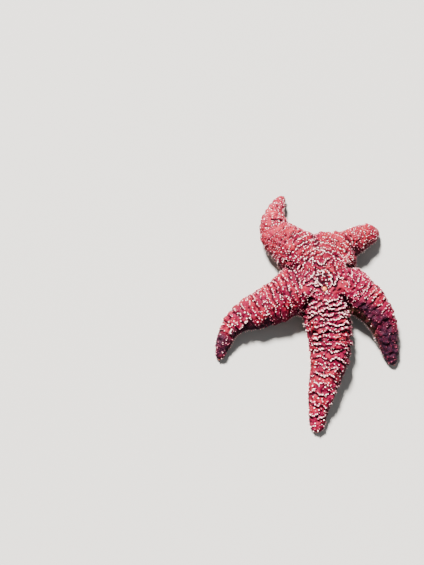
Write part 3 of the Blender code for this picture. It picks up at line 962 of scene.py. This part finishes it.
# Each spine's root is the nearest place on the finished skin, and it stands as the smoothed skin faces.
found = [skin_tree.find_nearest(Vector(spot)) for spot in spots]
roots = np.array([hit for hit, _, _, _ in found])
root_corners = faces[[face for _, _, face, _ in found]]
root_ways = normals[root_corners].mean(axis=1)
root_ways /= np.linalg.norm(root_ways, axis=1, keepdims=True)
root_points = root_corners[:, 0]

worn_back = on_back_arms * rise(46, 60, along)
lost = np.maximum(np.maximum(0.5 * shade, 0.12 * worn_back), 0.1)
kept = thin_out(roots, SPINE_GAP)
kept = kept[np.linalg.norm((roots[kept] - MADREPORITE)[:, :2], axis=1) > MADREPORITE_ROOM]
kept = kept[chance.uniform(size=len(kept)) > lost[root_points[kept]]]
roots, root_ways, sizes, root_points = (each[kept] for each in (roots, root_ways, sizes, root_points))
root_shade = shade[root_points]
sizes = sizes * (1 - 0.25 * root_shade) * (1 - 0.22 * worn_back[root_points])
root_owner = lie_of(roots)[0]
on_disc = np.linalg.norm((roots - DISC_MIDDLE)[:, :2], axis=1) < DISC_RADIUS

spine = template_of(SPINE_PROFILE, SPINE_SIDES)
lime = spine_finish()
spine_groups = {"disc": on_disc}
for number, name in enumerate(ARM_NAMES):
    spine_groups[name] = ~on_disc & (root_owner == number)
for name, mine in spine_groups.items():
    count = int(mine.sum())
    wide = sizes[mine] * chance.uniform(0.68, 1.2, count)
    tall = np.clip(sizes[mine], 0.8, 1.0) * chance.uniform(0.8, 1.1, count)
    ways = root_ways[mine] + chance.normal(0, 0.09, (count, 3))
    ways /= np.linalg.norm(ways, axis=1, keepdims=True)
    # The skin's painted shade carries on to the spines that stand in it.
    spines = set_out("spines_" + name, spine, roots[mine], ways, wide, tall, 0.45 * root_shade[mine])
    spines.data.materials.append(lime)
    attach(spines, "root")

# ---- Skin gills ----
# Tiny soft fingers of thin skin, through which the animal breathes. They grow all over the back, in the
# open skin between the lines of spines.

GILL_PROFILE = ((0.0, -0.25), (0.24, -0.25), (0.2, 0.25), (0.0, 0.5))
GILL_SIDES = 5
GILLS_TRIED = 20000
GILL_GAP = 1.15
open_skin = np.flatnonzero((to_line > 1.5) & (back > 0.3) & (crease_shade < 0.35) & (eye_gap > 6))
open_skin = open_skin[chance.permutation(len(open_skin))][:GILLS_TRIED]
open_skin = open_skin[thin_out(skin_points[open_skin], GILL_GAP)]
gill = template_of(GILL_PROFILE, GILL_SIDES)
gill_sizes = chance.uniform(0.6, 1.2, len(open_skin))
gills = set_out("skin_gills", gill, skin_points[open_skin], normals[open_skin], gill_sizes, gill_sizes)


def gill_finish():
    """Thin wet skin, a little paler than the wall it grows from."""
    finish = Finish("gill_skin")
    tone = finish.blend(finish.patches(95, 3, 0.36, 0.66), "52051f", "6b0e2a")
    tone = finish.blend(finish.ramp(finish.read("rise"), 0.1, 0.9, 0, 0.3), tone, "923c55")
    return finish.surface(tone, 0.5, 0.12)


gills.data.materials.append(gill_finish())
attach(gills, "root")

# ---- Spines of the underside ----
# Bare lime again, longer and more slender: one close row leans over each groove, and looser rows cover the
# soles out to the sides. The lowest ends all but touch the floor.

SOLE_PROFILE = ((0.0, -0.4), (0.42, -0.4), (0.36, 0.5), (0.3, 1.3), (0.17, 1.9), (0.0, 2.0))
SOLE_SIDES = 6
SOLE_LENGTH = 2.0
SOLE_ROWS = 9
ROW_STEP = 2.7
EDGE_ROOM = 0.8
FLOOR_GAP = 0.12
GROOVE_WIDTH = 10.0
GROOVE_SHARE = 0.34
GROOVE_START = 13.0
FAR_BELOW = -5.0
TOO_HIGH = 25


def groove_half(name, distance):
    """Half the groove's width at this distance along the arm."""
    return min(GROOVE_WIDTH, GROOVE_SHARE * read_off(ARMS[name].width, distance)) / 2


def seen_from_below(name, distance, offset):
    """The underside at this distance and offset: its place, its outward way, and the arm's left. Or None."""
    middle, arm_way = line_at(name, distance)
    left = np.cross(UP, arm_way)
    spot = middle + left * offset
    hit, _, face, _ = skin_tree.ray_cast((spot[0], spot[1], FAR_BELOW), (0.0, 0.0, 1.0))
    if hit is None or hit[2] > TOO_HIGH or ARM_NAMES[lie_of(spot[None])[0][0]] != name:
        return None
    return np.array(hit), normals[faces[face]].mean(axis=0), left


soles = []
for name, arm in ARMS.items():
    for side_sign in (-1, 1):
        for row in range(SOLE_ROWS):
            step = 2.1 if row == 0 else 2.9
            for distance in np.arange(GROOVE_START + 0.5 * step * (row % 2), arm.length - 1, step):
                half = read_off(arm.width, distance) / 2
                offset = groove_half(name, distance) + 1.6 + ROW_STEP * row + chance.uniform(-0.25, 0.25)
                found = seen_from_below(name, distance, side_sign * offset)
                if offset > half - EDGE_ROOM or found is None:
                    continue
                root, out_way, left = found
                if row == 0:
                    out_way = out_way * 0.7 - left * side_sign * 0.5
                out_way = out_way + chance.normal(0, 0.12, 3) - UP * 0.15
                soles.append((root, out_way / np.linalg.norm(out_way), 1.0 if row == 0 else 1.25))
sole_roots, sole_ways, sole_widths = (np.array(column) for column in zip(*soles))
sole_drops = SOLE_LENGTH * np.maximum(-sole_ways[:, 2], 0.05)
sole_heights = np.clip((sole_roots[:, 2] - FLOOR_GAP) / sole_drops, 0.25, 1.0)
sole_widths = sole_widths * chance.uniform(0.85, 1.1, len(sole_roots))
long_spine = template_of(SOLE_PROFILE, SOLE_SIDES)
sole_spines = set_out("spines_below", long_spine, sole_roots, sole_ways, sole_widths, sole_heights)
sole_spines.data.materials.append(lime)
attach(sole_spines, "root")

# ---- Tube feet ----
# Soft water-filled feet, each with a sucker at its end, in four rows down every groove. They hang from the
# groove's roof, and reach the floor or stop a little short of it.

FOOT_PROFILE = ((0.0, -0.6), (0.8, -0.6), (0.62, 2.0), (0.56, 5.0), (1.0, 6.5), (0.78, 6.8), (0.0, 6.6))
FOOT_SIDES = 6
FOOT_LENGTH = 6.8
FOOT_STEP = 3.1
FOOT_ROWS = (-0.7, -0.24, 0.24, 0.7)
foot_stands = []
for name, arm in ARMS.items():
    for row, share in enumerate(FOOT_ROWS):
        for distance in np.arange(GROOVE_START + 0.5 * FOOT_STEP * (row % 2), arm.length - 4, FOOT_STEP):
            half = groove_half(name, distance)
            found = seen_from_below(name, distance, share * half)
            if found is None:
                continue
            root, _, left = found
            foot_way = -UP + left * share * 0.25 + chance.normal(0, 0.09, 3)
            foot_way /= np.linalg.norm(foot_way)
            width = half / 5 * chance.uniform(0.9, 1.1)
            reach = (root[2] - FLOOR_GAP) / (FOOT_LENGTH * -foot_way[2])
            foot_stands.append((root, foot_way, width, reach * chance.uniform(0.72, 1.0)))
foot_template = template_of(FOOT_PROFILE, FOOT_SIDES)
feet = set_out("tube_feet", foot_template, *(np.array(column) for column in zip(*foot_stands)))


def foot_finish():
    """Clear yellowish flesh, paler at the sucker."""
    finish = Finish("foot_flesh")
    flesh = finish.blend(finish.patches(180, 2, 0.35, 0.65), "c08a4e", "dcb478")
    tone = finish.blend(finish.ramp(finish.read("rise"), 0.5, 0.95), flesh, "f0dcae")
    normal = finish.bump(finish.noise(1800, 2), 0.0001, 0.5)
    return finish.surface(tone, finish.patches(400, 2, 0.3, 0.7, 0.25, 0.4), normal=normal)


feet.data.materials.append(foot_finish())
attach(feet, "root")

# ---- Mouth ----
# A soft skin sags across the recess under the disc, with the mouth open in its middle. Five jaw plates
# stand between the grooves round it, each with a fan of long spines that close over the mouth.

LIP_PROFILE = (
    (0.0, 9.3), (1.4, 9.2), (1.8, 7.6), (2.6, 6.5), (3.6, 6.3), (5.2, 6.8), (7.0, 7.2), (9.2, 8.0),
    (11.8, 9.9), (11.2, 10.5), (0.0, 10.5),
)
LIP_STEPS = 60
LIP_PLEATS = 15
LIP_PLEAT = 0.22
JAW_SIZE = (5.0, 3.6, 3.4)
JAW_BEVEL = 0.8
JAW_DISTANCE = 8.6
JAW_LEVEL = 5.2
JAW_SPINES = 7
JAW_SPINE_LEVEL = 3.9


def mouth_finish():
    """Thin wet skin, flesh-coloured, with fine wrinkles."""
    finish = Finish("mouth_skin")
    tone = finish.blend(finish.patches(220, 3, 0.35, 0.65), "b06a50", "d39a78")
    normal = finish.bump(finish.noise(900, 3), 0.0003, 0.6)
    return finish.surface(tone, finish.patches(500, 2, 0.3, 0.7, 0.35, 0.5), normal=normal)


def jaw_finish():
    """Lime plate under thin skin, cream and faintly pitted."""
    finish = Finish("jaw_plate")
    tone = finish.blend(finish.patches(300, 3, 0.35, 0.65), "c99e78", "ead2b4")
    normal = finish.bump(finish.grains(1400), 0.0002, 0.6)
    return finish.surface(tone, finish.patches(500, 2, 0.3, 0.7, 0.45, 0.65), normal=normal)


def finish_piece(shape, name, material):
    """Makes a piece from a bmesh in millimetres round the middle of the disc."""
    mesh = bpy.data.meshes.new(name)
    bmesh.ops.translate(shape, verts=shape.verts, vec=Vector(DISC_MIDDLE))
    bmesh.ops.scale(shape, verts=shape.verts, vec=(MM, MM, MM))
    bmesh.ops.recalc_face_normals(shape, faces=shape.faces)
    for face in shape.faces:
        face.smooth = True
    shape.to_mesh(mesh)
    shape.free()
    mesh.materials.append(material)
    piece = show(name, mesh)
    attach(piece, "root")
    return piece


lips = spin_profile(LIP_PROFILE, LIP_STEPS)
for vert in lips.verts:
    turn = math.atan2(vert.co.y, vert.co.x)
    radius = math.hypot(vert.co.x, vert.co.y)
    vert.co.z += LIP_PLEAT * math.sin(LIP_PLEATS * turn) * rise(1, 4, radius) * (1 - rise(8, 11, radius))
mouth_piece = finish_piece(lips, "mouth_skin", mouth_finish())
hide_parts("mouth")

jaws = bmesh.new()
jaw_roots = []
jaw_ways = []
for here, after in neighbours:
    heading = (here + after) / 2
    outwards = Vector((math.cos(heading), math.sin(heading), 0.0))
    jaw = bmesh.ops.create_cube(jaws, size=1.0)["verts"]
    bmesh.ops.scale(jaws, verts=jaw, vec=JAW_SIZE)
    for vert in jaw:
        if vert.co.x < 0:
            vert.co.y *= 0.5
    sides = list({edge for vert in jaw for edge in vert.link_edges})
    bevelled = bmesh.ops.bevel(
        jaws, geom=sides, offset=JAW_BEVEL, segments=3, profile=0.5, affect="EDGES", material=-1
    )
    jaw = list({vert for face in bevelled["faces"] for vert in face.verts})
    turn = math.atan2(outwards.y, outwards.x)
    bmesh.ops.rotate(jaws, verts=jaw, cent=(0, 0, 0), matrix=Matrix.Rotation(turn, 3, "Z"))
    bmesh.ops.translate(jaws, verts=jaw, vec=outwards * JAW_DISTANCE + Vector((0, 0, JAW_LEVEL)))
    for index in range(JAW_SPINES):
        spread = (index - (JAW_SPINES - 1) / 2) / JAW_SPINES
        across = Vector((-outwards.y, outwards.x, 0.0)) * spread
        root = np.array(outwards * (JAW_DISTANCE - 1.6) + across * 2.4)
        jaw_roots.append(root + UP * JAW_SPINE_LEVEL + DISC_MIDDLE)
        jaw_way = np.array(across * 1.2 - outwards * 0.8) - UP * 0.75
        jaw_ways.append(jaw_way / np.linalg.norm(jaw_way))
finish_piece(jaws, "jaw_plates", jaw_finish())
jaw_widths = np.full(len(jaw_roots), 1.2)
jaw_heights = chance.uniform(1.7, 2.2, len(jaw_roots))
jaw_spines = set_out(
    "jaw_spines", long_spine, np.array(jaw_roots), np.array(jaw_ways), jaw_widths, jaw_heights
)
jaw_spines.data.materials.append(lime)
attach(jaw_spines, "root")

# ---- Madreporite ----
# The sieve plate that lets sea water in: a small dome of peach-coloured lime on the disc, off to one side
# of the middle, cut by fine furrows that run out to its rim.

SIEVE_RADIUS = 2.2
SIEVE_CROWN = 0.8
SIEVE_FURROWS = 16
SIEVE_CUT = 0.07
sieve_seat = drop_onto(skin_tree, MADREPORITE)
sieve = bmesh.new()
bmesh.ops.create_uvsphere(sieve, u_segments=96, v_segments=28, radius=1.0)
bmesh.ops.rotate(sieve, verts=sieve.verts, cent=(0, 0, 0), matrix=Matrix.Rotation(0.3, 3, "Z"))
furrows = []
for vert in sieve.verts:
    turn = math.atan2(vert.co.y, vert.co.x)
    spread = math.hypot(vert.co.x, vert.co.y)
    outer = math.sin(SIEVE_FURROWS * turn + 1.4 * math.sin(3 * turn) + 2.5 * spread)
    inner = math.sin(SIEVE_FURROWS / 2 * turn + 4 * spread)
    to_rim = rise(0.35, 0.7, spread)
    depth = float(outer * to_rim + inner * (1 - to_rim) * rise(0.05, 0.3, spread))
    furrows.append(0.5 + 0.5 * depth)
    vert.co *= 1 + SIEVE_CUT * depth
bmesh.ops.scale(sieve, verts=sieve.verts, vec=(SIEVE_RADIUS, SIEVE_RADIUS, SIEVE_CROWN))
bmesh.ops.translate(sieve, verts=sieve.verts, vec=Vector(np.array(sieve_seat) - DISC_MIDDLE))


def sieve_finish():
    """Peach lime, tan in the furrows."""
    finish = Finish("sieve_lime")
    crowns = finish.blend(finish.patches(420, 2, 0.35, 0.65), "b04f14", "d07424")
    tone = finish.blend(finish.ramp(finish.read("furrow"), 0.15, 0.6), "7c3014", crowns)
    normal = finish.bump(finish.noise(2400, 2), 0.00008, 0.6)
    return finish.surface(tone, finish.patches(600, 2, 0.3, 0.7, 0.4, 0.6), normal=normal)


sieve_plate = finish_piece(sieve, "sieve_plate", sieve_finish())
layer = sieve_plate.data.attributes.new("furrow", "FLOAT", "POINT")
layer.data.foreach_set("value", np.array(furrows, dtype=np.float32))
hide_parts("madreporite")

# ---- Eyespots ----
# A glossy red spot at the end of each arm, no more than a cushion of light-sensing cups. The frame's own
# eyespots show, and only their finish is set here.


def eye_finish():
    """Clear red skin over darker cups."""
    finish = Finish("eye_red")
    tone = finish.blend(finish.ramp(finish.grains(1600), 0.15, 0.45), "2e0306", "620f0c")
    finish.set(finish.shader, "Coat Weight", 0.3)
    finish.set(finish.shader, "Coat Roughness", 0.1)
    return finish.surface(tone, 0.3)


eye_red = eye_finish()
for name in ARM_NAMES:
    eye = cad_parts["eye_" + name]
    eye.data.materials.clear()
    eye.data.materials.append(eye_red)

# ---- Floor, light and camera ----
# A plain pale floor under plain studio light: a broad key from the back left, weak fills from the right and
# the front, and a pale sky that is dimmer overhead.

FLOOR_HALF = 4.0
LIGHT_AIM = Vector((0, 0, 0.02))


def add_floor():
    sheet = bmesh.new()
    bmesh.ops.create_grid(sheet, x_segments=1, y_segments=1, size=FLOOR_HALF)
    floor = show("floor", bpy.data.meshes.new("floor"))
    sheet.to_mesh(floor.data)
    sheet.free()
    floor.data.materials.append(Finish("floor_paint").surface("908e8a", 0.8))


def add_light(kind, name, place, strength, tint):
    """A lamp that faces the animal. Its strength is a sun's irradiance, or a soft box's power."""
    lamp = bpy.data.lights.new(name, kind)
    lamp.energy = strength
    lamp.color = tint
    light = show(name, lamp)
    light.location = place
    light.rotation_euler = (LIGHT_AIM - Vector(place)).to_track_quat("-Z", "Y").to_euler()
    return lamp


def add_sky():
    world = bpy.data.worlds.new("studio")
    world.use_nodes = True
    nodes = world.node_tree.nodes
    nodes["Background"].inputs["Color"].default_value = (0.93, 0.95, 1.0, 1.0)
    sky_way = nodes.new("ShaderNodeTexCoord")
    sky_parts = nodes.new("ShaderNodeSeparateXYZ")
    glow = nodes.new("ShaderNodeMapRange")
    for socket, number in (("From Min", 0.12), ("From Max", 0.4), ("To Min", 1.1), ("To Max", 0.34)):
        glow.inputs[socket].default_value = number
    world.node_tree.links.new(sky_way.outputs["Generated"], sky_parts.inputs["Vector"])
    world.node_tree.links.new(sky_parts.outputs["Z"], glow.inputs["Value"])
    world.node_tree.links.new(glow.outputs["Result"], nodes["Background"].inputs["Strength"])
    bpy.context.scene.world = world


add_floor()
add_light("SUN", "key", (-0.48, 0.9, 1.22), 35, (1.0, 0.97, 0.94)).angle = math.radians(11)
add_light("AREA", "fill_right", (1.2, -0.6, 0.9), 3.4, (0.93, 0.96, 1.0)).size = 1.2
add_light("AREA", "fill_front", (-0.2, -1.4, 0.8), 2.8, (0.96, 0.97, 1.0)).size = 1.2
add_sky()

CAMERA_ELEVATION = math.radians(70)
CAMERA_DISTANCE = 0.824
CAMERA_AIM = Vector(DISC_MIDDLE * MM) + Vector((-0.114, 0.005, 0))
camera = show("camera", bpy.data.cameras.new("camera"))
camera.data.lens = 50
camera.data.sensor_width = 36
camera.data.clip_start = 0.01
camera_way = Vector((0, -math.cos(CAMERA_ELEVATION), math.sin(CAMERA_ELEVATION)))
camera.location = CAMERA_AIM + CAMERA_DISTANCE * camera_way
camera.rotation_euler = (math.pi / 2 - CAMERA_ELEVATION, 0, 0)
bpy.context.scene.camera = camera
